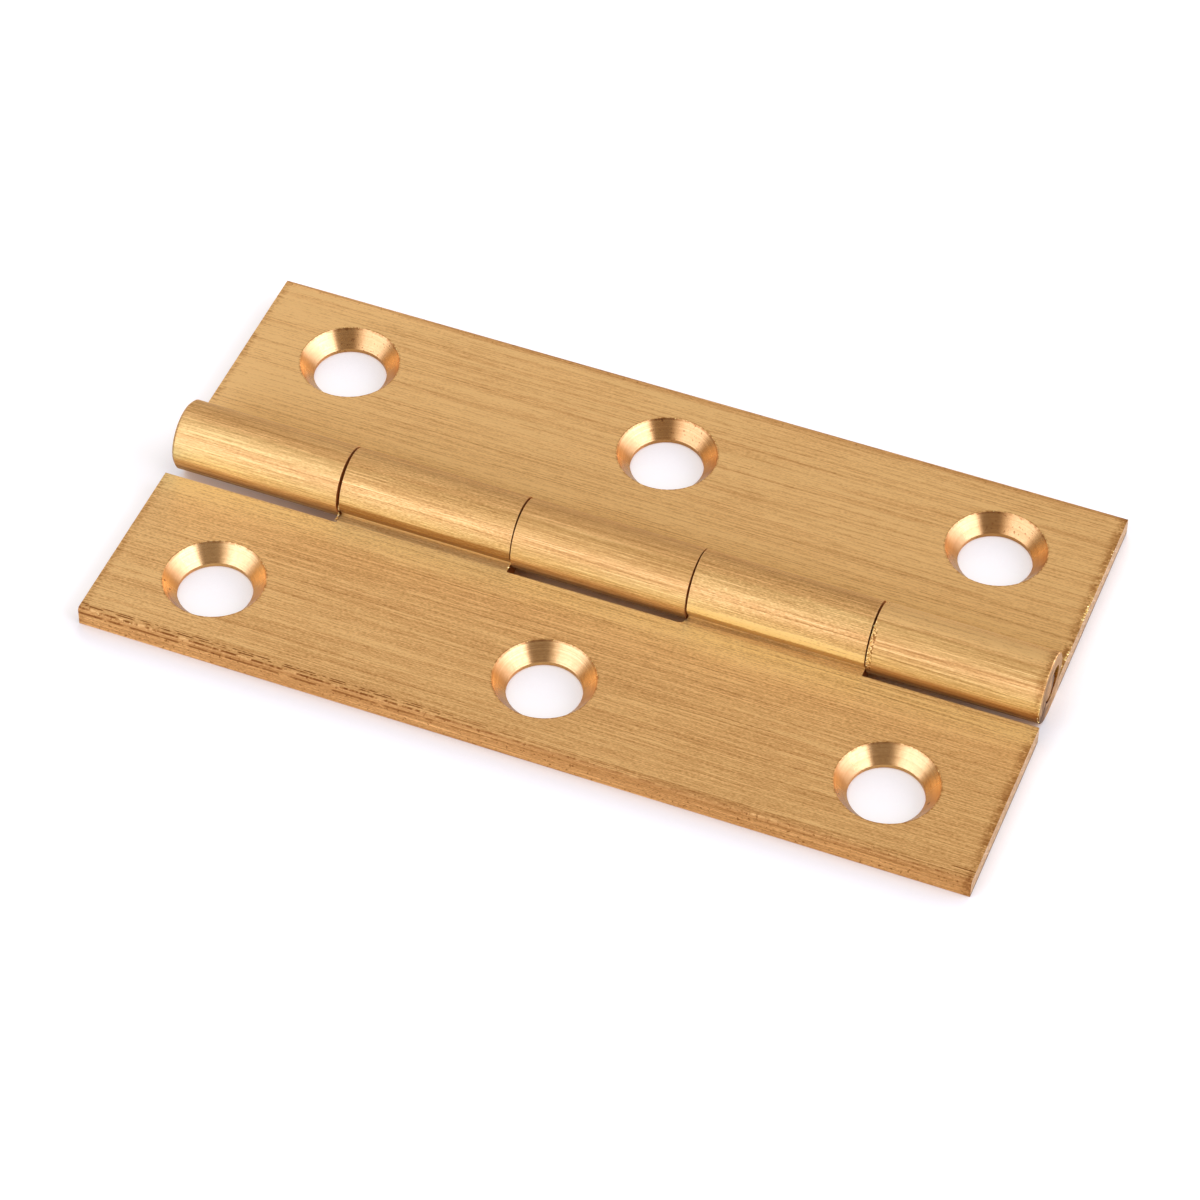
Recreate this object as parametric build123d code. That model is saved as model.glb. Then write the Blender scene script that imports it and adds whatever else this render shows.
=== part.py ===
from build123d import *
import math
import os

# Butt hinge laid open and flat: two brass leaves with rolled knuckles, turning on one pin.
# Millimetres, Z up, X along the pin; the front leaf lies towards -Y.
# The origin is the middle of the footprint, on the plane of the leaves' backs.

# Leaves
leaf_length = 63.5
leaf_thickness = 1.5
leaf_offset = 0.09       # the rear leaf sits this far towards -X and the front leaf towards +X
rear_reach = 18.04       # from the pin's axis to the rear edge
front_reach = 17.04      # from the pin's axis to the front edge
edge_round = 0.25        # on the top corner of each long outer edge

# Knuckles
knuckle_radius = 2.5
knuckle_count = 5
first_joint_x = -18.94   # the joint between the first and second knuckles
knuckle_pitch = 12.79    # from one joint to the next
joint_gaps = (0.19, 0.14, 0.11, 0.16)
left_end_inset = 0.35    # the first knuckle stops this far short of the rear leaf's end
left_end_break = 0.2     # corner taken off the first knuckle's outer end
right_end_break = 0.05   # corner taken off the last knuckle's outer end

# Recesses that clear the other leaf's knuckles
recess_gap = 0.45        # from the widest point of a barrel to the recess's edge
front_recess_tilt = -0.0063   # the front leaf's recess edge comes nearer the axis towards +X
front_cut_slant = 0.024       # the front leaf's knuckle ends are cut this far off square
recess_corner = 0.5      # rounded corner at the +X end of the front leaf's middle recess

# Root of a knuckle, where the leaf's top dips into a crease under the barrel's side
root_width = 0.37        # from the widest point of the barrel to where the dip starts
root_dip = 0.1
root_undercut = 0.46     # from the widest point of the barrel in to the crease
neck_angle = 5           # degrees below level at which the barrel's side turns in to the crease

# Pin and the hollow that it sits in
pin_radius = 1.05
pin_clearance = 0.05     # radial, in the front leaf's knuckles only
pin_end_gap = 0.06       # each pin end stops this far inside its knuckle
pin_chamfer = 0.12
relief_gap = 0.67        # the curl stands this far off the pin on the leaf's side, at most
relief_radius = 0.95
relief_angle = 14        # degrees above level
seam_width = 0.12        # where the curl closes on the lip under the pin
seam_angle = 217         # degrees, with the leaf's side as 0 and the top as 90

# Screw holes
hole_pitch = 24.18
rear_hole_margin = 6.2   # from the rear leaf's long outer edge
front_hole_margin = 5.96   # from the front leaf's long outer edge
front_hole_shift = -0.2  # of the front leaf's holes from its middle, along X
hole_radius = 2.6
hole_land = 0.28         # height of the plain wall left under the countersink
sink_radius = 3.55

# Derived sizes
axis_y = (front_reach - rear_reach) / 2
axis_z = knuckle_radius  # the barrels' undersides lie flush with the leaves' backs
recess_reach = knuckle_radius + recess_gap
root_height = leaf_thickness - root_dip
crease = knuckle_radius - root_undercut
neck = math.radians(neck_angle)
relief_offset = pin_radius + relief_gap - relief_radius
rear_centre = -leaf_offset
front_centre = leaf_offset
joint_x = [first_joint_x + i * knuckle_pitch for i in range(knuckle_count - 1)]
left_end = rear_centre - leaf_length / 2 + left_end_inset
right_end = rear_centre + leaf_length / 2
over = 1.0               # how far a cutting shape runs past what it cuts


def leaf_section(reach, bore_radius):
    """Section of a leaf and its knuckle: Y runs from the pin's axis to the outer edge."""
    plate = Polygon(
        (0, 0), (reach, 0), (reach, leaf_thickness),
        (knuckle_radius + root_width, leaf_thickness),
        (crease, root_height), (0, root_height), align=None)
    centre = Pos(0, axis_z)
    neck_y = knuckle_radius * math.cos(neck)
    neck_z = axis_z - knuckle_radius * math.sin(neck)
    undercut = Polygon(
        (crease, root_height), (neck_y + over, root_height),
        (neck_y + over, neck_z), (neck_y, neck_z), align=None)
    barrel = centre * Circle(knuckle_radius) - undercut
    hollow = centre * Circle(bore_radius)
    relief = centre * Rot(0, 0, relief_angle) * Pos(relief_offset, 0) * Circle(relief_radius)
    seam_length = knuckle_radius - pin_radius / 2 + over
    seam = centre * Rot(0, 0, seam_angle) * Pos(pin_radius / 2, 0) * Rectangle(
        seam_length, seam_width, align=(Align.MIN, Align.CENTER))
    return plate + barrel - hollow - relief - seam


def recess(x_low, x_high, reach_at, slant=0.0, corner=0.0):
    """Cutting block between two joints, from beyond the barrel to the recess's edge."""
    near = -knuckle_radius - over

    def side(x):
        far = reach_at(x)
        return (x + slant * near, near), (x + slant * far, far)

    (a, b), (d, c) = side(x_low), side(x_high)
    plan = Polygon(a, b, c, d, align=None)
    if corner:
        plan = fillet(plan.vertices().sort_by_distance((*c, 0))[0], corner)
    return Pos(0, 0, -over) * extrude(plan, 2 * knuckle_radius + 2 * over, dir=(0, 0, 1))


def end_break(x_end, inward, size):
    """Ring that takes the corner off a knuckle's outer end and leaves the plate whole."""
    profile = Polygon(
        (x_end - inward * over, knuckle_radius - size - over),
        (x_end + inward * (size + over), knuckle_radius + over),
        (x_end - inward * over, knuckle_radius + over), align=None)
    ring = Pos(0, 0, axis_z) * revolve(profile, Axis.X)
    plate = Pos(x_end, 0, 0) * Box(
        8 * over, knuckle_radius + 2 * over, leaf_thickness,
        align=(Align.CENTER, Align.MIN, Align.MIN))
    return ring - plate


def screw_hole(x, y):
    """Through hole with its countersink, cut from the leaf's top."""
    sink_depth = leaf_thickness - hole_land
    slope = (sink_radius - hole_radius) / sink_depth
    bore = Pos(x, y, leaf_thickness / 2) * Cylinder(hole_radius, leaf_thickness + over)
    sink = Pos(x, y, hole_land) * Cone(
        hole_radius, sink_radius + slope * over, sink_depth + over,
        align=(Align.CENTER, Align.CENTER, Align.MIN))
    return bore + sink


def leaf(centre_x, reach, bore_radius, recesses, hole_x, hole_margin):
    """A leaf and its knuckles, with the outer edge towards +Y and the pin's axis on Y = 0."""
    section = Plane.YZ * leaf_section(reach, bore_radius)
    body = Pos(centre_x - leaf_length / 2, 0, 0) * extrude(section, leaf_length)
    for block in recesses:
        body -= block
    top_corner = [e for e in body.edges().filter_by(Axis.X)
                  if abs(e.center().Y - reach) < 0.001
                  and abs(e.center().Z - leaf_thickness) < 0.001]
    body = fillet(top_corner, edge_round)
    for i in (-1, 0, 1):
        body -= screw_hole(hole_x + i * hole_pitch, reach - hole_margin)
    return body


def joint_face(index, towards):
    """X of a knuckle's end at a joint, on the +1 or -1 side of the gap."""
    return joint_x[index] + towards * joint_gaps[index] / 2


def rear_leaf():
    """First, third and fifth knuckles, which grip the pin."""
    edge = lambda x: recess_reach
    cuts = [recess(joint_face(i, -1), joint_face(i + 1, 1), edge) for i in (0, 2)]
    cuts.append(recess(left_end - left_end_inset - over, left_end, lambda x: knuckle_radius))
    cuts.append(end_break(left_end, 1, left_end_break))
    cuts.append(end_break(right_end, -1, right_end_break))
    body = leaf(rear_centre, rear_reach, pin_radius, cuts, rear_centre, rear_hole_margin)
    return Pos(0, axis_y, 0) * body


def front_leaf():
    """Second and fourth knuckles, which turn on the pin."""
    edge = lambda x: recess_reach + front_recess_tilt * x
    beyond = leaf_length / 2 + leaf_offset + over
    spans = [(-beyond, joint_face(0, 1), 0.0),
             (joint_face(1, -1), joint_face(2, 1), recess_corner),
             (joint_face(3, -1), beyond, 0.0)]
    cuts = [recess(low, high, edge, front_cut_slant, corner) for low, high, corner in spans]
    body = leaf(front_centre, front_reach, pin_radius + pin_clearance, cuts,
                front_centre + front_hole_shift, front_hole_margin)
    return Pos(0, axis_y, 0) * mirror(body, about=Plane.XZ)


def hinge_pin():
    """Plain round pin, held by the rear leaf's knuckles."""
    start = left_end + pin_end_gap
    length = right_end - left_end - 2 * pin_end_gap
    rod = extrude(Plane.YZ * Circle(pin_radius), length)
    rod = chamfer(rod.edges().filter_by(GeomType.CIRCLE), pin_chamfer)
    return Pos(start, axis_y, axis_z) * rod


os.makedirs("parts", exist_ok=True)
for name, make in (("rear_leaf", rear_leaf), ("front_leaf", front_leaf), ("hinge_pin", hinge_pin)):
    solid = make()
    export_step(solid, "parts/" + name + ".step")
    print(name, round(solid.volume, 3), solid.bounding_box())
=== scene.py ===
import math
import random
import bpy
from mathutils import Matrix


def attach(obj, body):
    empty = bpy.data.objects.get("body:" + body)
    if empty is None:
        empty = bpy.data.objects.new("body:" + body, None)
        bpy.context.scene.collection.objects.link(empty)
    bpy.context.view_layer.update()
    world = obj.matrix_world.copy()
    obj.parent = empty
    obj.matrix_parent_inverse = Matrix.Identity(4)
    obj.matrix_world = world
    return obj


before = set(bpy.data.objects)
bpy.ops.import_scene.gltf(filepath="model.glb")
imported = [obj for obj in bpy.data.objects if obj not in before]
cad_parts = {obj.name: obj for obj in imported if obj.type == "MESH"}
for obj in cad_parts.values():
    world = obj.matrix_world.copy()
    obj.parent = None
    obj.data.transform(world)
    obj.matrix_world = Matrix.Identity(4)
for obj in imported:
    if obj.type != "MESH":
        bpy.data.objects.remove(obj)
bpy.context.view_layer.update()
from types import SimpleNamespace
import bmesh
import bpy
from mathutils import Matrix, Vector

# Millimetres, in the frame of the CAD: X along the pin, Y to the rear leaf, Z up from the table
MM = 0.001
AXIS_Y = -0.5
AXIS_Z = 2.5
KNUCKLE_RADIUS = 2.5
PIN_EDGE = 1.07
HOLLOW_RADIUS = 1.65
LEAF_TOP = 1.5
HOLE_PITCH = 24.18
SINK_RADIUS = 3.55
HALF_LENGTH = 31.75
FIRST_JOINT = -18.9
LAST_JOINT = 19.3
REAR = SimpleNamespace(holes=(-0.09, 11.34), shift=-0.09, edge=18.04, side=1.0)
FRONT = SimpleNamespace(holes=(-0.11, -11.58), shift=0.09, edge=17.04, side=-1.0)

# The photograph's camera: metres, degrees and millimetres
CAMERA_AT = (0.075123, -0.202153, 0.228065)
CAMERA_TURN = (43.109, -0.865, 21.464)
CAMERA_LENS = 137.43

# The studio's lights as seen from the part, in degrees: none, full, full, none
LEFT_BOX = SimpleNamespace(azimuth=(-178, -150, -114, -74), height=(2, 14, 42, 60), strength=2.3)
RIGHT_BOX = SimpleNamespace(azimuth=(-36, -24, 38, 58), height=(-7, 3, 40, 54), strength=2.7)
GAP_AZIMUTH = (-96, -76, -34, -26)
GAP_TOP = (62, 42)
GAP_STRENGTH = 0.33
BOX_LIGHT = (0.94, 1.06, 1.75, 1)
FILL_LIGHT = (1.0, 0.96, 1.05, 1)
GAP_LIGHT = (1.08, 0.93, 0.98, 1)

FLOOR_HALF = 3.0
FLOOR_DROP = 0.00002
FLOOR_COLOUR = (0.63, 0.58, 0.455, 1)
# Painted bounce light from the brass: the floor warmer near the hinge, and brown under the knuckles
FLOOR_NEAR_BOUNCE = (0.72, 0.62, 0.44, 1)
FLOOR_UNDER_BOUNCE = (0.74, 0.42, 0.155, 1)
GLOW_IN_METAL = 0.2
# How far the floor looks for metal, in millimetres, and which way
AIR_REACH, AIR_NORMAL = 4.2, (0.0, 0.8, 0.6)
OVERHEAD_REACH, UP = 2.6, (0.0, 0.0, 1.0)
# The floor's glow by openness, which fades into painted shadow round and under the hinge: none,
# full, strength
OPEN_GLOW = ((0.2, 0.38, 0.28), (0.58, 0.9, 0.22))
# Painted light for the light that gets under the first knuckle, from the left, and under the right
# end of
# the last: from x, to x, strength
SIDE_PAINTED_GLOW = ((-18.5, -19.5, 0.04), (-20.0, -31.5, 0.12), (23.0, 31.0, 0.055))

# Factors on the brass's tone, by region; those for the root strip, near the barrel, the barrels'
# slopes, tops, bright band, undersides and feet, the rims and the ends are painted shade and
# painted light
TONE = SimpleNamespace(
    lip=0.62, cone=0.86, root=0.80, left_end=1.10, near=1.11, barrel=0.96, slope=0.84,
    fifth_top_light=1.35, fifth_underside_shade=0.70, front_underside_shade=0.85, second_knuckle_shade=0.45, painted_glint=1.4, low_shade_line=0.75,
    rear_underside_shade=0.68, rear_foot_shade=0.75, edge_face=0.80, far_rim_shade=0.80, rim=0.90, end=0.86,
    right_end=0.74, worn=0.45, dash=0.25, face_line=0.45, nick=0.30, nick_edge=1.4, pit=0.1,
    end_streak=0.70, torn_dark=0.40, torn_bright=1.5)

# Tone to colour: red is the level, green and blue are powers of it times a share by region; the
# root share is for the painted shade along the knuckles' roots
LEVEL_SLOPE, LEVEL_START, LEVEL_LEAST = 0.67, 0.129, 0.05
GREEN_POWER, BLUE_POWER = 1.48, 2.0
GREEN = SimpleNamespace(leaf=0.63, lower=0.76, cone=0.69, root=0.77)
BLUE = SimpleNamespace(leaf=0.215, lower=0.26, cone=0.29, root=0.30)

# Colours of the cut ends, each from its darker to its lighter patches, and of the torn metal
END_PALE = ((0.70, 0.45, 0.22, 1), (0.88, 0.60, 0.31, 1))
KNUCKLE_END = ((0.53, 0.30, 0.115, 1), (0.68, 0.40, 0.16, 1))
# Dark marks on the cut ends; the same colour paints shadow at their foot and round the hollow
END_DARK = (0.20, 0.115, 0.06, 1)
# Painted light inside the joints
JOINT_PAINTED_LIGHT = (0.74, 0.36, 0.11, 1)
BURR_COLOURS = ((0.88, 0.54, 0.13, 1), (1.0, 0.77, 0.27, 1))

BRASS_SURFACE = (("Metallic", 1), ("Anisotropic", 0.8), ("Anisotropic Rotation", 0.25),
                 ("Coat Weight", 0.05), ("Coat Roughness", 0.32))
ROUGH = SimpleNamespace(leaf=0.53, barrel=0.5, edge=0.6, cone=0.26, cut_end=0.5)
BUMP_STRENGTH, BUMP_DISTANCE = 0.4, 0.00002

# Hairlines, from fine to coarse: width of a row, length, slant, seed and weight
HAIRS = ((0.06, 14.0, 0.003, 11.5, 0.72), (0.08, 1.2, -0.004, 301.5, 0.42),
         (0.10, 22.0, 0.002, 611.5, 0.56), (0.18, 40.0, -0.002, 911.5, 0.20))
BRIGHT_HAIRS, BRIGHT_HAIR_TONE = (0.07, 9.0, 0.003, 1311.5), 0.3
# Slow changes of tone: length, width, seed and weight
SLOW = ((26.0, 0.6, 40.0, 0.12), (34.0, 2.4, 80.0, 0.16))
SPECKLE_LENGTH, SPECKLE_WIDTH, SPECKLE_FRONT, SPECKLE_REAR = 1 / 4, 1 / 13, 0.95, 0.6
GRAIN_SCALE, PATCH_SCALE, SPECK_SCALE, BURR_SCALE = 4.0, 0.9, 7.0, 9.0
RING_SCALE, RING_STEPS = 11.0, 16.0

# Where each region starts and where it is full: heights, reaches from the pin's axis, places
# along the pin and along the barrel's arc in millimetres, and shares of normals and noises
SPAN = SimpleNamespace(
    cut_end=(0.7, 0.9), edge_face=(0.35, 0.8), edge_reach=(10, 11), cone_slant=(0.97, 0.93),
    low=(1.58, 1.52), top_face=(1.45, 1.49), first_half=(0.1, -0.1), line=(0.03, -0.03),
    front_root=(2.9, 2.86), rear_root=(2.88, 2.84), near=(6.0, 3.0), left_end=(-16.0, -30.0),
    lip_height=(1.2, 1.3), lip_grain=(0.38, 0.6), bright_hair=(0.60, 0.74),
    slope=(-0.5, -0.9), slope_foot=(-2.2, -1.7), fifth_top_light=(-0.7, -0.2), fifth_underside_shade=(2.6, 2.1),
    underside_shade=(2.7, 2.1), second_knuckle_shade=(3.0, 2.7), painted_glint=(3.2, 2.9), painted_glint_foot=(2.35, 2.5),
    low_shade_line=(2.4, 2.3), rear_foot_shade=(1.95, 1.6), far_rim_shade=(1.4, 1.48), rim=(1.0, 1.2),
    end_mottle=(0.40, 0.56), right_mottle=(0.44, 0.56), worn=(0.60, 0.70), streak=(0.5, 0.6),
    dash=(0.44, 0.54), dash_height=(1.2, 1.3), face_dash=(0.40, 0.52), face_line=(0.14, 0.06),
    nick=(29.9, 30.4), nick_height=(1.4, 1.45), nick_width=(0.07, 0.03),
    torn_strip=(0.24, 0.12), torn_top=(4.9, 4.5), torn_dark=(0.50, 0.56), torn_bright=(0.44, 0.38),
    lower=(4.3, 2.9), belly_shade=(1.78, 1.45), seam=(0.34, 0.2), along_seam=(0.9, 1.1),
    pin_line=(0.09, 0.04), foot_shadow=(0.3, 0.1), torn_side=(-0.5, -1.0), torn_height=(2.5, 2.0),
    hollow_shadow=(0.36, 0.10), mottled=(0.35, 0.65))

# Broken lines along the front edge: distance from it, half width, and seed
DASHES = ((0.14, 0.05, 3.0), (0.42, 0.04, 7.0), (0.58, 0.03, 9.0))
# Height of one more such line, on the edge's face
FACE_LINE = 1.1
# A nick at the front leaf's right-hand corner: its dark and its bright line, from the edge
NICK = (0.86, 0.76)
# Pits in the countersinks: place and radius
PITS = ((26.97, -11.61, 0.13), (21.36, -13.44, 0.07), (-27.44, -12.81, 0.08),
        (-26.94, -13.11, 0.07))
SEAM_ANGLE = math.radians(217)
TORN_STRIP = 19.68


class Graph:
    """Short names for making and joining shader nodes."""

    def __init__(self, owner, output):
        owner.use_nodes = True
        self.tree = owner.node_tree
        self.tree.nodes.clear()
        self.surface = self.node(output).inputs["Surface"]

    def node(self, kind, **settings):
        n = self.tree.nodes.new(kind)
        for key, value in settings.items():
            setattr(n, key, value)
        return n

    def put(self, socket, value):
        if isinstance(value, bpy.types.NodeSocket):
            self.tree.links.new(value, socket)
        elif value is not None:
            socket.default_value = value

    def math(self, operation, a, b=None, c=None):
        n = self.node("ShaderNodeMath", operation=operation)
        for socket, value in zip(n.inputs, (a, b, c)):
            self.put(socket, value)
        return n.outputs[0]

    def times(self, first, *others):
        for other in others:
            first = self.math("MULTIPLY", first, other)
        return first

    def plus(self, first, *others):
        for other in others:
            first = self.math("ADD", first, other)
        return first

    def minus(self, a, b):
        return self.math("SUBTRACT", a, b)

    def line(self, value, slope, start):
        return self.math("MULTIPLY_ADD", value, slope, start)

    def size(self, value):
        return self.math("ABSOLUTE", value)

    def most(self, a, b):
        return self.math("MAXIMUM", a, b)

    def step(self, value, low, high, to_low=0.0, to_high=1.0):
        """Smooth rise from to_low at low to to_high at high."""
        n = self.node("ShaderNodeMapRange", interpolation_type="SMOOTHSTEP")
        for socket, v in zip(n.inputs, (value, low, high, to_low, to_high)):
            self.put(socket, v)
        return n.outputs[0]

    def around(self, value, centre, none, full):
        """1 within the distance full of the centre, 0 beyond the distance none."""
        return self.step(self.size(self.minus(value, centre)), none, full)

    def mix(self, factor, a, b):
        """A colour between two."""
        n = self.node("ShaderNodeMix", data_type="RGBA")
        for i, value in ((0, factor), (6, a), (7, b)):
            self.put(n.inputs[i], value)
        return n.outputs[2]

    def blend(self, factor, a, b):
        """A number between two."""
        n = self.node("ShaderNodeMix", data_type="FLOAT")
        for i, value in ((0, factor), (2, a), (3, b)):
            self.put(n.inputs[i], value)
        return n.outputs[0]

    def vector(self, operation, a, scale=None):
        n = self.node("ShaderNodeVectorMath", operation=operation)
        self.put(n.inputs[0], a)
        self.put(n.inputs[3], scale)
        return n.outputs[1] if operation == "LENGTH" else n.outputs[0]

    def split(self, vector):
        n = self.node("ShaderNodeSeparateXYZ")
        self.put(n.inputs[0], vector)
        return n.outputs

    def join(self, x, y, z=0.0):
        n = self.node("ShaderNodeCombineXYZ")
        for socket, value in zip(n.inputs, (x, y, z)):
            self.put(socket, value)
        return n.outputs[0]

    def noise(self, vector, detail=2.0):
        n = self.node("ShaderNodeTexNoise")
        for name, value in (("Vector", vector), ("Scale", 1.0), ("Detail", detail)):
            self.put(n.inputs[name], value)
        return n.outputs["Fac"]

    def chance(self, value):
        """A random number for each whole number at or below the value."""
        n = self.node("ShaderNodeTexWhiteNoise", noise_dimensions="1D")
        self.put(n.inputs["W"], self.math("FLOOR", value))
        return n.outputs["Value"]

    def pick(self, factor, a, b):
        """A surface between two; either may be left empty."""
        n = self.node("ShaderNodeMixShader")
        for socket, value in zip(n.inputs, (factor, a, b)):
            self.put(socket, value)
        return n.outputs[0]


def new_material(name):
    material = bpy.data.materials.new(name)
    return material, Graph(material, "ShaderNodeOutputMaterial")


def add_object(name, data):
    made = bpy.data.objects.new(name, data)
    bpy.context.scene.collection.objects.link(made)
    return made


def make_camera():
    data = bpy.data.cameras.new("camera")
    data.lens = CAMERA_LENS
    data.clip_start = 0.01
    data.clip_end = 20
    camera = add_object("camera", data)
    camera.location = CAMERA_AT
    camera.rotation_euler = [math.radians(a) for a in CAMERA_TURN]
    bpy.context.scene.camera = camera


def make_world():
    """A white studio: a soft box on the left, one on the right, and the dark gap between them."""
    world = bpy.data.worlds.new("studio")
    g = Graph(world, "ShaderNodeOutputWorld")
    bpy.context.scene.world = world
    direction = g.vector("NORMALIZE", g.node("ShaderNodeTexCoord").outputs["Generated"])
    x, y, z = g.split(direction)
    azimuth = g.times(g.math("ARCTAN2", y, x), 180 / math.pi)
    height = g.times(g.math("ARCSINE", z), 180 / math.pi)

    def window(value, low, low_full, high_full, high):
        return g.times(g.step(value, low, low_full), g.step(value, high, high_full))

    left, right = (g.times(window(azimuth, *box.azimuth), window(height, *box.height))
                   for box in (LEFT_BOX, RIGHT_BOX))
    gap = g.times(window(azimuth, *GAP_AZIMUTH), g.step(height, *GAP_TOP))
    light = g.blend(gap, g.step(height, 20, 70, 0.37, 0.75), GAP_STRENGTH)
    light = g.plus(light, g.times(left, LEFT_BOX.strength))
    light = g.plus(light, g.times(right, RIGHT_BOX.strength))
    lit, plain = (g.node("ShaderNodeBackground") for _ in range(2))
    fill = g.mix(gap, FILL_LIGHT, GAP_LIGHT)
    g.put(lit.inputs["Color"], g.mix(g.most(left, right), fill, BOX_LIGHT))
    g.put(lit.inputs["Strength"], light)
    # The camera sees plain white
    g.put(plain.inputs["Color"], (1, 1, 1, 1))
    is_camera = g.node("ShaderNodeLightPath").outputs["Is Camera Ray"]
    g.put(g.surface, g.pick(is_camera, lit.outputs[0], plain.outputs[0]))


def make_floor():
    """A white table. It glows for the camera where it is open, so that it ends up plain white;
    where the hinge closes it in, the glow fades to painted shadow.
    """
    s = FLOOR_HALF
    mesh = bpy.data.meshes.new("floor")
    mesh.from_pydata([(-s, -s, 0), (s, -s, 0), (s, s, 0), (-s, s, 0)], [], [(0, 1, 2, 3)])
    floor = add_object("floor", mesh)
    floor.location.z = -FLOOR_DROP
    material, g = new_material("floor_white")

    def openness(distance, normal):
        near = g.node("ShaderNodeAmbientOcclusion", samples=12)
        near.inputs["Distance"].default_value = distance * MM
        g.put(near.inputs["Normal"], g.join(*normal))
        return near.outputs["AO"]

    open_air = openness(AIR_REACH, AIR_NORMAL)
    overhead = openness(OVERHEAD_REACH, UP)
    # Painted bounce light: warmer near the hinge, brown where it is closed in overhead
    painted_bounce = g.mix(g.step(overhead, 0.22, 0.5), FLOOR_UNDER_BOUNCE, FLOOR_NEAR_BOUNCE)
    matte = g.node("ShaderNodeBsdfDiffuse")
    g.put(matte.inputs["Color"], g.mix(g.step(open_air, 0.34, 0.62), painted_bounce, FLOOR_COLOUR))
    x = g.times(g.split(g.node("ShaderNodeTexCoord").outputs["Object"])[0], 1 / MM)

    def rises(value, table):
        return g.plus(*(g.step(value, low, high, 0.0, most) for low, high, most in table))

    glow = g.node("ShaderNodeEmission")
    # Less glow where the floor is closed in: painted shadow. The side glow under the knuckles is
    # painted light
    g.put(glow.inputs["Strength"],
          g.plus(g.times(rises(open_air, OPEN_GLOW), g.step(overhead, 0.2, 0.5)),
                 g.times(rises(x, SIDE_PAINTED_GLOW), g.step(overhead, 0.55, 0.3))))
    rays = g.node("ShaderNodeLightPath").outputs
    seen = g.most(rays["Is Glossy Ray"], rays["Is Transmission Ray"])
    seen = g.most(rays["Is Camera Ray"], g.times(seen, GLOW_IN_METAL))
    total = g.node("ShaderNodeAddShader")
    g.put(total.inputs[0], matte.outputs[0])
    g.put(total.inputs[1], g.pick(seen, None, glow.outputs[0]))
    g.put(g.surface, total.outputs[0])
    mesh.materials.append(material)


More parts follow.
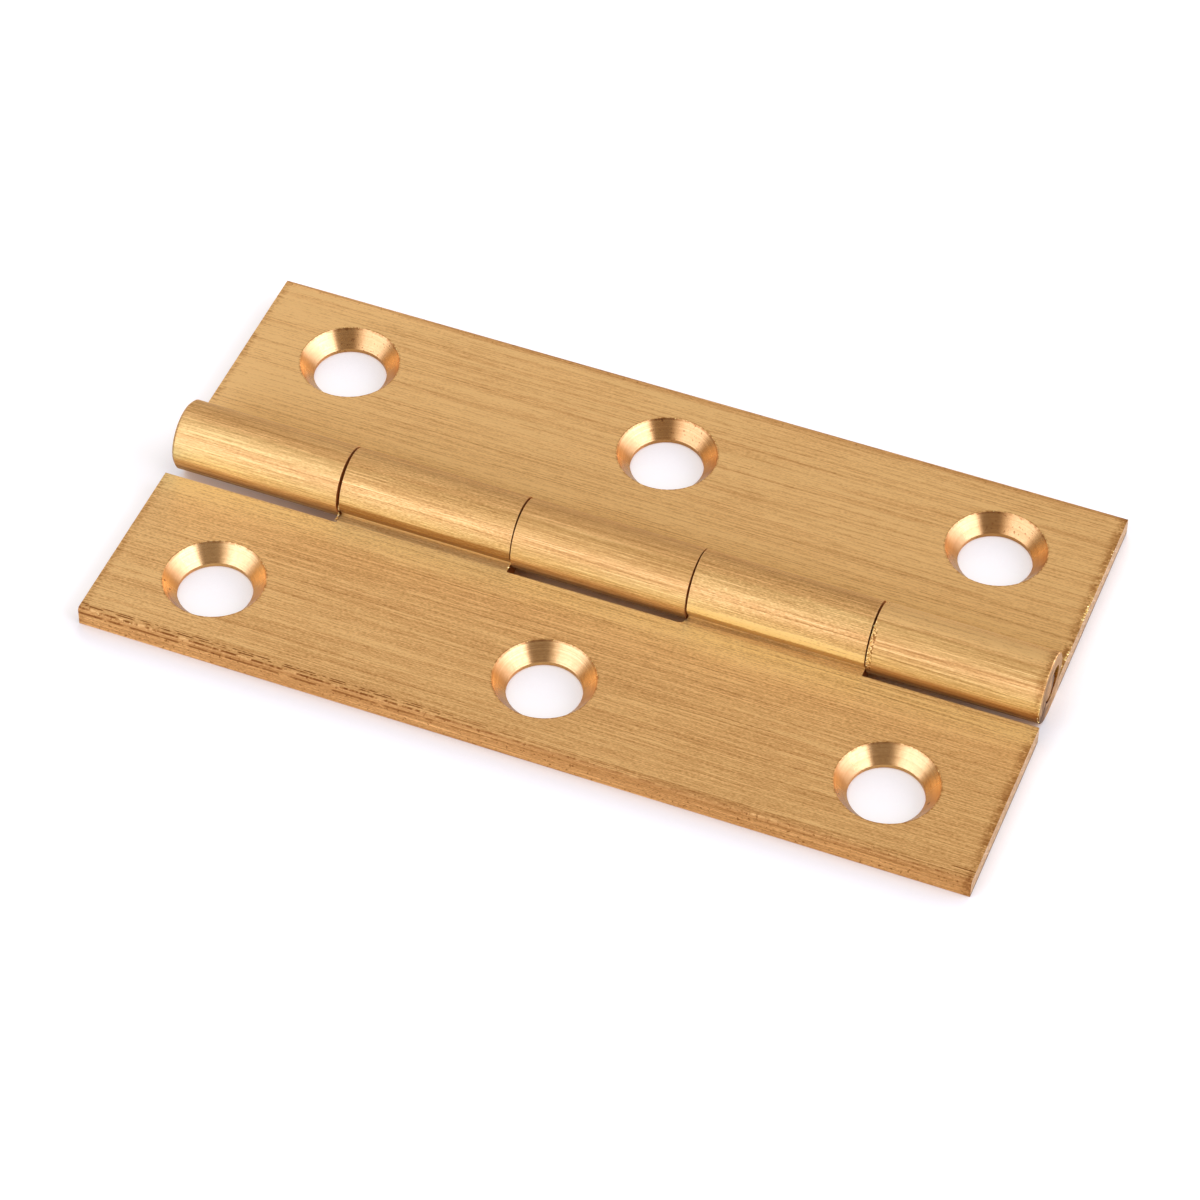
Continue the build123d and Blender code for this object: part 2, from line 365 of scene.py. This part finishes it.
def brass(name, leaf, flat=1.0, fine=1.0):
    """Brushed brass: lines along the pin, turned countersinks, plainer cut ends, and painted shade
    and highlights on the barrels, the roots, the rims and the ends.

    flat is the factor on the tone of the leaf's top, fine the one on the hairlines' depth.
    """
    material, g = new_material(name)
    in_front = leaf is FRONT
    shader = g.node("ShaderNodeBsdfPrincipled")
    for socket, value in BRASS_SURFACE:
        shader.inputs[socket].default_value = value
    coordinates = g.node("ShaderNodeTexCoord").outputs
    mm = g.vector("SCALE", coordinates["Object"], scale=1 / MM)
    x, y, z = g.split(mm)
    facing = g.split(coordinates["Normal"])

    # Where on the part this is, from 0 to 1 for each region
    reach = g.size(g.minus(y, AXIS_Y))
    rise = g.minus(z, AXIS_Z)
    radius = g.vector("LENGTH", g.join(reach, rise))
    round_part = g.step(radius, KNUCKLE_RADIUS + 0.08, KNUCKLE_RADIUS + 0.03)
    barrel = g.times(round_part, g.step(z, LEAF_TOP, LEAF_TOP + 0.1))
    cut_end = g.step(g.size(facing[0]), *SPAN.cut_end)
    low = g.step(z, *SPAN.low)
    first_half = g.step(x, *SPAN.first_half)
    second_half = g.minus(1.0, first_half)
    # Painted shade along each knuckle's root, on the leaf: the barrel's dark underside reflected
    if in_front:
        # The strip by the fourth knuckle is narrower than by the second, and narrows to the right
        strip = g.blend(first_half, g.line(x, -0.03, 2.78), 2.88)
        in_strip = g.line(g.step(g.minus(reach, strip), *SPAN.line), 0.95, 0.05)
        root = g.times(g.step(reach, *SPAN.front_root), low, in_strip)
    else:
        root = g.times(g.step(reach, *SPAN.rear_root), low)
    middle = g.minus(x, leaf.shift)
    from_middle = g.size(middle)
    end = g.step(from_middle, HALF_LENGTH - 0.7, HALF_LENGTH - 0.15)
    right_end = g.step(middle, HALF_LENGTH - 1.0, HALF_LENGTH - 0.1)
    edge_face = g.times(g.step(g.size(facing[1]), *SPAN.edge_face),
                      g.step(reach, *SPAN.edge_reach))
    rim = g.step(reach, leaf.edge - 0.75, leaf.edge - 0.25)

    # Distance from the nearest screw hole's axis, in the plane of the leaf
    along = g.minus(x, leaf.holes[0])
    nearest = g.math("ROUND", g.math("DIVIDE", along, HOLE_PITCH))
    dx = g.minus(along, g.times(nearest, HOLE_PITCH))
    dy = g.minus(y, leaf.holes[1])
    from_hole = g.vector("LENGTH", g.join(dx, dy))
    cone = g.times(g.step(from_hole, SINK_RADIUS + 0.01, SINK_RADIUS - 0.01),
                   g.step(z, LEAF_TOP - 0.001, LEAF_TOP - 0.02),
                   g.step(g.size(facing[2]), *SPAN.cone_slant))

    # Brushing: hairlines in rows side by side, from fine to coarse, under slow changes of tone
    arc = g.times(g.math("ARCTAN2", g.minus(y, AXIS_Y), rise), KNUCKLE_RADIUS)
    across = g.blend(barrel, g.plus(y, z), arc)

    def hairs(width, length, tilt, shift):
        row = g.plus(g.times(across, 1 / width), g.line(x, tilt / width, shift))
        run = g.node("ShaderNodeTexNoise", noise_dimensions="1D")
        run.inputs["Scale"].default_value = 1
        run.inputs["Detail"].default_value = 1
        g.put(run.inputs["W"], g.line(x, 1 / length, g.times(g.chance(row), 700.0)))
        return run.outputs["Fac"]

    def smooth(length, width, shift=0.0, detail=2.0):
        return g.noise(g.join(g.times(x, 1 / length), g.line(across, 1 / width, shift)), detail)

    layers = [(hairs(*shape), weight * fine) for *shape, weight in HAIRS]
    hair, short_hair = layers[0][0], layers[1][0]
    layers += [(smooth(*shape), weight) for *shape, weight in SLOW]
    layers.append((smooth(SPECKLE_LENGTH, SPECKLE_WIDTH, detail=1.5),
                   SPECKLE_FRONT if in_front else SPECKLE_REAR))
    tone = 1.0
    for value, weight in layers:
        tone = g.plus(tone, g.line(value, weight, -weight / 2))
    bright = g.step(hairs(*BRIGHT_HAIRS), *SPAN.bright_hair, 0.0, BRIGHT_HAIR_TONE * fine)
    tone = g.plus(tone, bright)
    grain = g.noise(g.vector("SCALE", mm, scale=GRAIN_SCALE), detail=3.0)
    patch = g.noise(g.vector("SCALE", mm, scale=PATCH_SCALE))

    def shade(factor, *masks):
        return g.times(tone, g.blend(g.times(*masks), 1.0, factor))

    # Turning marks in the countersinks
    rings = g.noise(g.join(g.times(from_hole, RING_SCALE), nearest))
    turned_tone = g.times(g.step(rings, 0.3, 0.7, 0.93, 1.12),
                          g.line(g.chance(g.times(from_hole, RING_STEPS)), 0.12, 0.94),
                          g.step(grain, 0.35, 0.65, 0.94, 1.03))
    tone = g.blend(cone, tone, turned_tone)
    lip = g.times(g.step(from_hole, SINK_RADIUS - 0.13, SINK_RADIUS - 0.05),
                  g.step(from_hole, SINK_RADIUS + 0.13, SINK_RADIUS + 0.03),
                  g.step(z, *SPAN.lip_height))
    tone = shade(TONE.lip, lip, g.step(grain, *SPAN.lip_grain))
    tone = shade(TONE.cone, cone)
    # Painted shade on the root strip
    tone = shade(TONE.root, root)
    tone = shade(flat, g.minus(1.0, barrel), g.step(z, *SPAN.top_face))
    tone = shade(TONE.left_end, g.step(middle, *SPAN.left_end))
    # Painted light: the front leaf's top lighter near the barrel
    near = g.times(g.step(reach, *SPAN.near), low, g.minus(1.0, root))
    if in_front:
        tone = shade(TONE.near, near)

    # The barrels
    tone = shade(TONE.barrel, barrel)
    # Painted shade on the barrels' front slopes: on the second and third knuckles, less on the
    # fifth
    slope = g.times(g.step(arc, *SPAN.slope), g.step(arc, *SPAN.slope_foot))
    if in_front:
        slope_shade_knuckles = first_half
    else:
        slope_shade_knuckles = g.times(g.step(x, FIRST_JOINT - 0.1, FIRST_JOINT + 0.1),
                       g.step(x, LAST_JOINT + 0.1, LAST_JOINT - 0.1, 0.4, 1.0))
    tone = shade(TONE.slope, barrel, slope, slope_shade_knuckles)
    # Painted light on the fifth knuckle's top and back, painted shade on its underside
    fifth = g.times(g.step(x, LAST_JOINT - 0.1, LAST_JOINT + 0.1), barrel)
    tone = shade(TONE.fifth_top_light, fifth, g.step(arc, *SPAN.fifth_top_light))
    tone = shade(TONE.fifth_underside_shade, fifth, g.step(z, *SPAN.fifth_underside_shade))
    underside_shade = g.times(barrel, g.step(z, *SPAN.underside_shade))
    if in_front:
        # Painted shade on the undersides: the second knuckle's starts higher up than the fourth's,
        # which has a painted highlight band first and deeper painted shade below
        tone = shade(TONE.front_underside_shade, underside_shade)
        tone = shade(TONE.second_knuckle_shade, barrel, first_half, g.step(z, *SPAN.second_knuckle_shade))
        tone = shade(TONE.painted_glint, barrel, g.step(z, *SPAN.painted_glint), g.step(z, *SPAN.painted_glint_foot),
                     second_half)
        tone = shade(TONE.low_shade_line, barrel, g.step(z, *SPAN.low_shade_line), second_half)
        # A painted highlight: the bright line where the barrel meets the strip
        painted_bright_line = g.times(
            g.step(g.minus(reach, g.blend(first_half, 2.10, 2.15)), *SPAN.line),
            g.step(z, g.blend(first_half, 1.74, 1.72), g.blend(first_half, 1.66, 1.62)),
            g.most(first_half, g.step(z, 1.45, 1.5)))
        tone = g.blend(painted_bright_line, tone, g.blend(first_half, 1.3, 1.0))
    else:
        # Painted shade on the rear barrels' undersides, deeper at their feet
        tone = shade(TONE.rear_underside_shade, underside_shade)
        tone = shade(TONE.rear_foot_shade, barrel, g.step(z, *SPAN.rear_foot_shade))

    # Edges and ends: the edges' faces darker, painted shade on the rounded rims and, in mottled
    # patches, on the rolled-over ends; then wear
    tone = shade(TONE.edge_face, edge_face)
    if not in_front:
        tone = shade(TONE.far_rim_shade, rim, g.step(z, *SPAN.far_rim_shade))
    tone = shade(TONE.rim, rim, g.step(z, *SPAN.rim))
    mottle = g.times(g.plus(patch, grain), 0.5)
    tone = shade(TONE.end, end, g.step(mottle, *SPAN.end_mottle))
    tone = shade(TONE.right_end, right_end, g.step(mottle, *SPAN.right_mottle))
    tone = shade(TONE.worn, g.most(edge_face, g.times(rim, 0.8)), g.step(grain, *SPAN.worn))
    if in_front:
        # Broken dark lines along the outer edge's top corner
        dashes = g.step(middle, 2.0, -12.0, 0.35, 1.0)
        for from_edge, width, seed in DASHES:
            dash = g.noise(g.join(g.times(x, 0.9), seed), detail=3.0)
            tone = shade(TONE.dash, g.around(reach, leaf.edge - from_edge, width + 0.02, width),
                         g.step(dash, *SPAN.dash), g.step(z, *SPAN.dash_height), dashes)
        # One more on the edge's face
        dash = g.noise(g.join(g.times(x, 0.7), 21.0), detail=3.0)
        tone = shade(TONE.face_line, edge_face, g.around(z, FACE_LINE, *SPAN.face_line),
                     g.step(dash, *SPAN.face_dash), g.step(middle, 6.0, -12.0, 0.2, 1.0))
        nick = g.times(g.step(middle, *SPAN.nick), g.step(z, *SPAN.nick_height))
        for from_edge, factor in zip(NICK, (TONE.nick, TONE.nick_edge)):
            across_nick = g.around(reach, leaf.edge - from_edge, *SPAN.nick_width)
            tone = shade(factor, nick, across_nick)
    for pit_x, pit_y, size in PITS:
        off = g.vector("LENGTH", g.join(g.minus(x, pit_x), g.minus(y, pit_y)))
        tone = shade(TONE.pit, g.step(off, size, 0.6 * size), cone)
    tone = shade(TONE.end_streak, end, g.step(short_hair, *SPAN.streak))
    # Torn metal beside the fourth joint
    torn_strip = g.times(g.around(x, TORN_STRIP, *SPAN.torn_strip), barrel,
                         g.step(z, *SPAN.torn_top))
    specks = g.noise(g.vector("SCALE", mm, scale=SPECK_SCALE), detail=1.0)
    tone = shade(TONE.torn_dark, torn_strip, g.step(specks, *SPAN.torn_dark))
    tone = shade(TONE.torn_bright, torn_strip, g.step(specks, *SPAN.torn_bright))

    # Brass: the darker the tone, the browner
    level = g.math("MINIMUM", g.line(tone, LEVEL_SLOPE, LEVEL_START), 1.0)
    level = g.most(level, LEVEL_LEAST)
    # The lower share also colours the painted slope shade, and on the front leaf the painted light
    # near the barrel
    lower = g.times(barrel, g.most(g.step(z, *SPAN.lower), g.times(slope, 0.35)))
    if in_front:
        lower = g.most(lower, g.times(near, 0.55))
    else:
        # Painted shade: the rear barrels' bellies darker, less on the first knuckle, and browner
        # towards their feet
        belly_shade = g.times(round_part, g.step(y, AXIS_Y, AXIS_Y - 0.4), g.step(z, *SPAN.belly_shade))
        level = g.times(level, g.blend(belly_shade, 1.0, g.step(x, -20.0, -18.0, 0.66, 0.56)))
        lower = g.times(lower, g.step(z, 2.2, 2.7, 0.4, 1.0))
    combined = g.node("ShaderNodeCombineColor")
    g.put(combined.inputs[0], level)
    for socket, power, share in zip(combined.inputs[1:], (GREEN_POWER, BLUE_POWER), (GREEN, BLUE)):
        region = g.blend(cone, g.blend(lower, share.leaf, share.lower), share.cone)
        region = g.blend(root, region, share.root)
        g.put(socket, g.times(g.math("POWER", level, power), region))

    # Cut ends: paler, and darker at the pin's edge, at the curl's seam and where the metal is torn;
    # painted shadow at the foot, round the hollow and on the pin's back; a painted light brown
    # inside the joints
    u = g.times(g.minus(y, AXIS_Y), leaf.side)
    cos, sin = math.cos(SEAM_ANGLE), math.sin(SEAM_ANGLE)
    off_seam = g.size(g.minus(g.times(u, sin), g.times(rise, cos)))
    along_seam = g.plus(g.times(u, cos), g.times(rise, sin))
    seam = g.times(g.step(g.plus(off_seam, g.times(grain, 0.2)), *SPAN.seam),
                   g.step(along_seam, *SPAN.along_seam))
    pin_line = g.around(radius, PIN_EDGE, *SPAN.pin_line)
    # Painted shadow on the pin's end towards its back, and on the other ends at their foot
    if name == "brass_pin":
        dark = g.most(pin_line, g.step(u, 0.2, 0.75, 0.0, 0.8))
    else:
        foot_shadow = g.times(g.step(z, *SPAN.foot_shadow), g.step(reach, 2.3, 2.6, 0.0, 0.7))
        torn = g.times(g.step(u, *SPAN.torn_side),
                       g.step(g.plus(z, grain), *SPAN.torn_height), 0.85)
        dark = g.most(g.most(g.most(seam, pin_line), foot_shadow), torn)
    hollow_shadow = g.times(g.around(radius, HOLLOW_RADIUS, *SPAN.hollow_shadow),
                     g.step(u, 0.5, -0.2, 0.0, 0.6))
    dark = g.most(dark, hollow_shadow)
    mottled = g.step(grain, *SPAN.mottled)
    pale = g.mix(g.step(radius, KNUCKLE_RADIUS + 0.04, KNUCKLE_RADIUS - 0.04),
                 g.mix(mottled, *END_PALE), g.mix(mottled, *KNUCKLE_END))
    outside = g.step(from_middle, HALF_LENGTH - 0.6, HALF_LENGTH - 0.5)
    face = g.mix(outside, JOINT_PAINTED_LIGHT, g.mix(dark, pale, END_DARK))
    g.put(shader.inputs["Base Color"], g.mix(cut_end, combined.outputs[0], face))

    rough = g.blend(barrel, ROUGH.leaf, ROUGH.barrel)
    rough = g.times(rough, g.step(hair, 0.3, 0.7, 1.08, 0.92))
    rough = g.blend(g.most(edge_face, rim), rough, ROUGH.edge)
    rough = g.blend(cone, rough, ROUGH.cone)
    g.put(shader.inputs["Roughness"], g.blend(cut_end, rough, ROUGH.cut_end))

    bump = g.node("ShaderNodeBump")
    bump.inputs["Strength"].default_value = BUMP_STRENGTH
    bump.inputs["Distance"].default_value = BUMP_DISTANCE
    g.put(bump.inputs["Height"], g.blend(cone, smooth(3.0, 0.16, 120.0), rings))
    g.put(shader.inputs["Normal"], bump.outputs[0])

    # The sheen follows the lines: along the pin, and round each countersink
    lines = g.node("ShaderNodeMix", data_type="VECTOR")
    for i, value in ((0, cone), (4, (1, 0.01, 0.02)), (5, g.join(g.times(dy, -1.0), dx, 0.001))):
        g.put(lines.inputs[i], value)
    world = g.node("ShaderNodeVectorTransform", vector_type="VECTOR",
                   convert_from="OBJECT", convert_to="WORLD")
    g.put(world.inputs[0], lines.outputs[1])
    g.put(shader.inputs["Tangent"], g.vector("NORMALIZE", world.outputs[0]))
    g.put(g.surface, shader.outputs[0])
    return material


def burr_brass():
    """Torn edges of the brass: brighter and smoother."""
    material, g = new_material("burr_brass")
    shader = g.node("ShaderNodeBsdfPrincipled")
    shader.inputs["Metallic"].default_value = 1
    mm = g.vector("SCALE", g.node("ShaderNodeTexCoord").outputs["Object"], scale=1 / MM)
    spots = g.noise(g.vector("SCALE", mm, scale=BURR_SCALE))
    g.put(shader.inputs["Base Color"], g.mix(g.step(spots, 0.35, 0.6), *BURR_COLOURS))
    g.put(shader.inputs["Roughness"], g.step(spots, 0.3, 0.7, 0.4, 0.28))
    g.put(g.surface, shader.outputs[0])
    return material


def make_burrs(name, body, runs, material, seed):
    """Crumbs of metal left by the cutter, in runs: two ends, how many, and their size."""
    chance = random.Random(seed)
    shape = bmesh.new()
    for start, finish, count, size in runs:
        for i in range(count):
            t = (i + chance.uniform(0.1, 0.9)) / count
            middle = Vector(start).lerp(Vector(finish), t)
            middle += Vector([chance.uniform(-0.3, 0.3) * size for _ in range(3)])
            made = bmesh.ops.create_icosphere(shape, subdivisions=2,
                                              radius=size * chance.uniform(0.45, 1.0))
            stretch = Vector((chance.uniform(0.5, 1.5), chance.uniform(0.5, 1.2),
                              chance.uniform(0.35, 0.8)))
            lean = (Matrix.Rotation(chance.uniform(-0.9, 0.9), 3, "Y")
                    @ Matrix.Rotation(chance.uniform(0, 3), 3, "Z"))
            for v in made["verts"]:
                torn = v.co * chance.uniform(0.72, 1.15)
                v.co = middle + lean @ Vector([a * b for a, b in zip(torn, stretch)])
    for v in shape.verts:
        v.co *= MM
    mesh = bpy.data.meshes.new(name)
    shape.to_mesh(mesh)
    shape.free()
    mesh.materials.append(material)
    piece = add_object(name, mesh)
    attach(piece, body)


def on_barrel(x, angle):
    """A point of the barrel's surface, at an angle from the top towards the front."""
    turn = math.radians(angle)
    return (x, AXIS_Y - KNUCKLE_RADIUS * math.sin(turn), AXIS_Z + KNUCKLE_RADIUS * math.cos(turn))


def arc_runs(x, low, high, size):
    """Crumbs along a joint, down the barrel's front."""
    return [(on_barrel(x, angle), on_barrel(x, angle + 4), 2, size)
            for angle in range(low, high, 4)]


def rim_runs(leaf, count=9, size=0.05):
    """A few crumbs round each countersink's rim."""
    runs = []
    chance = random.Random(count)
    for i in (-1, 0, 1):
        x, y = leaf.holes[0] + i * HOLE_PITCH, leaf.holes[1]
        for _ in range(count):
            turn = math.radians(chance.uniform(20, 200))
            spot = (x + SINK_RADIUS * math.cos(turn), y + SINK_RADIUS * math.sin(turn), LEAF_TOP)
            runs.append((spot, spot, 1, size))
    return runs


# Runs of burrs: at the joints' corners, along the edges and ends, round the countersinks
FRONT_BURRS = [(on_barrel(-18.83, 88), (-18.86, -2.9, 1.55), 6, 0.10),
               ((-18.87, -2.8, 1.52), (-18.90, -3.42, 1.50), 7, 0.11),
               ((-6.24, -2.75, 1.48), (-6.20, -3.42, 1.50), 6, 0.09),
               ((6.80, -3.0, 1.50), (6.45, -3.42, 1.50), 5, 0.06),
               ((-31.45, -17.45, 1.42), (-27.5, -17.45, 1.42), 16, 0.055),
               ((-27.5, -17.46, 1.41), (-12.0, -17.46, 1.41), 14, 0.04),
               ((-31.64, -16.9, 1.49), (-31.64, -4.5, 1.49), 30, 0.04),
               *rim_runs(FRONT), *arc_runs(19.34, 36, 92, 0.045), *arc_runs(6.62, 64, 92, 0.03)]
REAR_BURRS = [((31.58, 9.0, 1.52), (31.58, 7.2, 1.52), 9, 0.13),
              ((31.58, 4.0, 1.52), (31.58, 3.0, 1.52), 5, 0.12),
              ((31.10, 2.2, 1.53), (31.58, 2.6, 1.53), 6, 0.16),
              ((31.60, 14.5, 1.50), (31.60, 3.3, 1.50), 22, 0.07),
              (on_barrel(31.58, 100), on_barrel(31.58, 118), 5, 0.07),
              *rim_runs(REAR), *arc_runs(19.57, 16, 96, 0.075),
              *arc_runs(TORN_STRIP, 48, 94, 0.06), *arc_runs(31.60, 60, 96, 0.05)]

make_camera()
make_world()
make_floor()
bpy.context.scene.view_settings.view_transform = "Standard"

for node, looks in (("rear_leaf", brass("brass_rear", REAR, flat=1.17, fine=0.8)),
                    ("front_leaf", brass("brass_front", FRONT, flat=1.03, fine=0.82)),
                    ("hinge_pin", brass("brass_pin", REAR))):
    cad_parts[node].material_slots[0].material = looks

burrs = burr_brass()
make_burrs("burrs_front", "front", FRONT_BURRS, burrs, 5)
make_burrs("burrs_rear", "rear", REAR_BURRS, burrs, 8)
